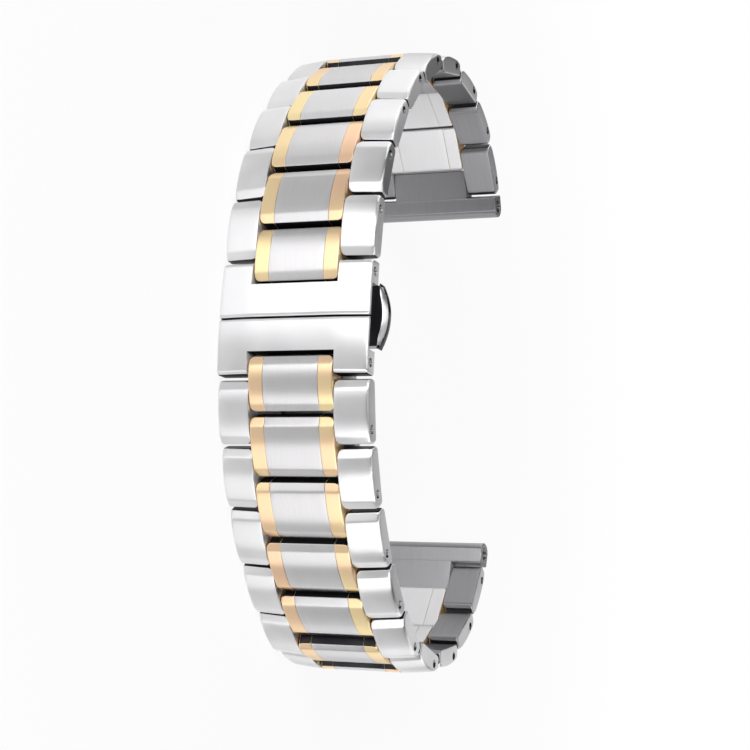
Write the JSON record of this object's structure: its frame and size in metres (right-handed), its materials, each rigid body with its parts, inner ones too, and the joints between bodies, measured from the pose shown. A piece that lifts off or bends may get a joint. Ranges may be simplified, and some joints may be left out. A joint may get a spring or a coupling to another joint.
{
  "type": "watch strap",
  "caption": "Two-tone metal link watch strap in its worn loop, with pinned links, solid end links and a folding clasp released by a side push button.",
  "frame": {"origin": "under the middle of the loop, in the plane of the edge on which the strap stands", "axes": "+Z across the strap along the link pins, +X from the left half to the right half, -Y out of the clasp's front; the strap stands on its edge"},
  "size_m": [0.0846, 0.0514, 0.022],
  "materials": {
    "polished_steel": "mirror polished stainless steel",
    "satin_steel": "satin brushed stainless steel",
    "gold_plate": "polished gold-coloured plating",
    "dark_steel": "dark polished steel",
    "spring_steel": "bare spring wire"
  },
  "bodies": {
    "clasp": {"base_plate": "satin_steel", "latch_block": "dark_steel", "latch_rivets": "polished_steel", "arm_hinge_pins": "polished_steel", "button_spring": "spring_steel"},
    "button": {"push_button": "dark_steel"},
    "left_arm": {"left_arm": "satin_steel", "left_cover_pin": "polished_steel"},
    "left_cover": {"left_cover": "polished_steel", "left_first_pin": "polished_steel"},
    "left_link_1": {"left_link_1_outers": "polished_steel", "left_link_1_centre": "satin_steel"},
    "left_link_2": {"left_link_2_outers": "polished_steel", "left_link_2_centre": "satin_steel"},
    "left_link_3": {"left_link_3_outers": "polished_steel", "left_link_3_centre": "satin_steel"},
    "left_link_4": {"left_link_4_outers": "polished_steel", "left_link_4_centre": "satin_steel"},
    "left_link_5": {"left_link_5_outers": "polished_steel", "left_link_5_centre": "satin_steel"},
    "left_link_6": {"left_link_6_outers": "polished_steel", "left_link_6_centre": "satin_steel"},
    "left_link_7": {"left_link_7_outers": "polished_steel", "left_link_7_centre": "satin_steel"},
    "left_link_8": {"left_link_8_outers": "polished_steel", "left_link_8_centre": "satin_steel"},
    "left_link_9": {"left_link_9_outers": "polished_steel", "left_link_9_centre": "satin_steel"},
    "left_end": {"left_end_link": "satin_steel"},
    "right_arm": {"right_arm": "satin_steel", "right_cover_pin": "polished_steel"},
    "right_cover": {"right_cover": "polished_steel", "right_first_pin": "polished_steel"},
    "right_link_1": {"right_link_1_outers": "polished_steel", "right_link_1_centre": "satin_steel"},
    "right_link_2": {"right_link_2_outers": "polished_steel", "right_link_2_centre": "satin_steel"},
    "right_link_3": {"right_link_3_outers": "polished_steel", "right_link_3_centre": "satin_steel"},
    "right_link_4": {"right_link_4_outers": "polished_steel", "right_link_4_centre": "satin_steel"},
    "right_link_5": {"right_link_5_outers": "polished_steel", "right_link_5_centre": "satin_steel"},
    "right_link_6": {"right_link_6_outers": "polished_steel", "right_link_6_centre": "satin_steel"},
    "right_link_7": {"right_link_7_outers": "polished_steel", "right_link_7_centre": "satin_steel"},
    "right_link_8": {"right_link_8_outers": "polished_steel", "right_link_8_centre": "satin_steel"},
    "right_link_9": {"right_link_9_outers": "polished_steel", "right_link_9_centre": "satin_steel"},
    "right_end": {"right_end_link": "satin_steel"}
  },
  "joints": [
    {"name": "left_arm_hinge", "type": "hinge", "parent": "clasp", "child": "left_arm", "pos_m": [-0.01814, -0.01702, 0.01], "axis": [0, 0, -1], "range_deg": [0, 130]},
    {"name": "left_cover_hinge", "type": "hinge", "parent": "left_arm", "child": "left_cover", "pos_m": [-0.00224, -0.02361, 0.01], "axis": [0, 0, -1], "range_deg": [-130, 0]},
    {"name": "left_link_1_hinge", "type": "hinge", "parent": "left_cover", "child": "left_link_1", "pos_m": [-0.00524, -0.02406, 0.01], "axis": [0, 0, -1], "range_deg": [-15, 3]},
    {"name": "left_link_2_hinge", "type": "hinge", "parent": "left_link_1", "child": "left_link_2", "pos_m": [-0.01321, -0.02337, 0.01], "axis": [0, 0, -1], "range_deg": [-22, 5]},
    {"name": "left_link_3_hinge", "type": "hinge", "parent": "left_link_2", "child": "left_link_3", "pos_m": [-0.02086, -0.02103, 0.01], "axis": [0, 0, -1], "range_deg": [-22, 16]},
    {"name": "left_link_4_hinge", "type": "hinge", "parent": "left_link_3", "child": "left_link_4", "pos_m": [-0.02786, -0.01715, 0.01], "axis": [0, 0, -1], "range_deg": [-22, 16]},
    {"name": "left_link_5_hinge", "type": "hinge", "parent": "left_link_4", "child": "left_link_5", "pos_m": [-0.0339, -0.0119, 0.01], "axis": [0, 0, -1], "range_deg": [-22, 16]},
    {"name": "left_link_6_hinge", "type": "hinge", "parent": "left_link_5", "child": "left_link_6", "pos_m": [-0.03871, -0.00551, 0.01], "axis": [0, 0, -1], "range_deg": [-31.5, 6.5]},
    {"name": "left_link_7_hinge", "type": "hinge", "parent": "left_link_6", "child": "left_link_7", "pos_m": [-0.04085, 0.0022, 0.01], "axis": [0, 0, -1], "range_deg": [-31.5, 6.5]},
    {"name": "left_link_8_hinge", "type": "hinge", "parent": "left_link_7", "child": "left_link_8", "pos_m": [-0.04001, 0.01015, 0.01], "axis": [0, 0, -1], "range_deg": [-31.5, 6.5]},
    {"name": "left_link_9_hinge", "type": "hinge", "parent": "left_link_8", "child": "left_link_9", "pos_m": [-0.03632, 0.01725, 0.01], "axis": [0, 0, -1], "range_deg": [-31.5, 6.5]},
    {"name": "left_end_hinge", "type": "hinge", "parent": "left_link_9", "child": "left_end", "pos_m": [-0.03028, 0.0225, 0.01], "axis": [0, 0, -1], "range_deg": [-31.5, 6.5]},
    {"name": "right_arm_hinge", "type": "hinge", "parent": "clasp", "child": "right_arm", "pos_m": [0.01886, -0.01702, 0.01], "axis": [0, 0, 1], "range_deg": [0, 130]},
    {"name": "right_cover_hinge", "type": "hinge", "parent": "right_arm", "child": "right_cover", "pos_m": [0.00296, -0.02361, 0.01], "axis": [0, 0, 1], "range_deg": [-130, 0]},
    {"name": "right_link_1_hinge", "type": "hinge", "parent": "right_cover", "child": "right_link_1", "pos_m": [0.00596, -0.02406, 0.01], "axis": [0, 0, 1], "range_deg": [-22, 0]},
    {"name": "right_link_2_hinge", "type": "hinge", "parent": "right_link_1", "child": "right_link_2", "pos_m": [0.01378, -0.0224, 0.01], "axis": [0, 0, 1], "range_deg": [-20, 5]},
    {"name": "right_link_3_hinge", "type": "hinge", "parent": "right_link_2", "child": "right_link_3", "pos_m": [0.0212, -0.0194, 0.01], "axis": [0, 0, 1], "range_deg": [-20, 18]},
    {"name": "right_link_4_hinge", "type": "hinge", "parent": "right_link_3", "child": "right_link_4", "pos_m": [0.02798, -0.01516, 0.01], "axis": [0, 0, 1], "range_deg": [-20, 18]},
    {"name": "right_link_5_hinge", "type": "hinge", "parent": "right_link_4", "child": "right_link_5", "pos_m": [0.03393, -0.00981, 0.01], "axis": [0, 0, 1], "range_deg": [-20, 18]},
    {"name": "right_link_6_hinge", "type": "hinge", "parent": "right_link_5", "child": "right_link_6", "pos_m": [0.03885, -0.00351, 0.01], "axis": [0, 0, 1], "range_deg": [-33.5, 4.5]},
    {"name": "right_link_7_hinge", "type": "hinge", "parent": "right_link_6", "child": "right_link_7", "pos_m": [0.04086, 0.00424, 0.01], "axis": [0, 0, 1], "range_deg": [-33.5, 4.5]},
    {"name": "right_link_8_hinge", "type": "hinge", "parent": "right_link_7", "child": "right_link_8", "pos_m": [0.03961, 0.01214, 0.01], "axis": [0, 0, 1], "range_deg": [-33.5, 4.5]},
    {"name": "right_link_9_hinge", "type": "hinge", "parent": "right_link_8", "child": "right_link_9", "pos_m": [0.03531, 0.01889, 0.01], "axis": [0, 0, 1], "range_deg": [-33.5, 4.5]},
    {"name": "right_end_hinge", "type": "hinge", "parent": "right_link_9", "child": "right_end", "pos_m": [0.02867, 0.02336, 0.01], "axis": [0, 0, 1], "range_deg": [-33.5, 4.5]},
    {"name": "button_slide", "type": "slide", "parent": "clasp", "child": "button", "axis": [0, 0, -1], "range_m": [0, 0.0007], "stiffness_N_per_m": 800, "springref_m": -0.001, "deforming": ["button_spring"]}
  ],
  "couplings": [
    {"joint": "left_cover_hinge", "follows": "left_arm_hinge", "ratio": -1},
    {"joint": "right_cover_hinge", "follows": "right_arm_hinge", "ratio": -1}
  ]
}
